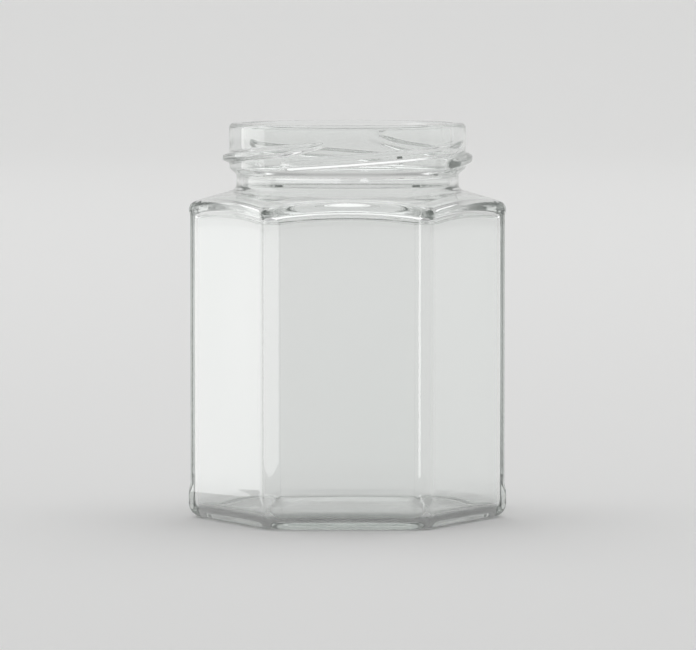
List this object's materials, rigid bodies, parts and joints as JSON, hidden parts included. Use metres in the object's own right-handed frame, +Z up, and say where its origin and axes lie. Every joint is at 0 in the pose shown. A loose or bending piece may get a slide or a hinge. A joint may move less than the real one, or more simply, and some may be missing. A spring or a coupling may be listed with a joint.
{
  "type": "honey jar",
  "caption": "Empty clear glass honey jar with a hexagonal body, a shallow arched shoulder and a round open neck with overlapping screw threads.",
  "frame": {"origin": "centre of the rounded hexagonal ring that the jar stands on, at the surface it stands on", "axes": "+Z up along the jar's axis to the mouth, +X through one rounded corner of the hexagon, -Y through the middle of the flat side that faces the viewer"},
  "size_m": [0.079, 0.0694, 0.098],
  "materials": {
    "clear_glass": "clear colourless soda-lime glass, smooth and glossy, with a faint grey-green tint where it is thick"
  },
  "bodies": {
    "root": {"glass_jar": "clear_glass"}
  },
  "joints": []
}
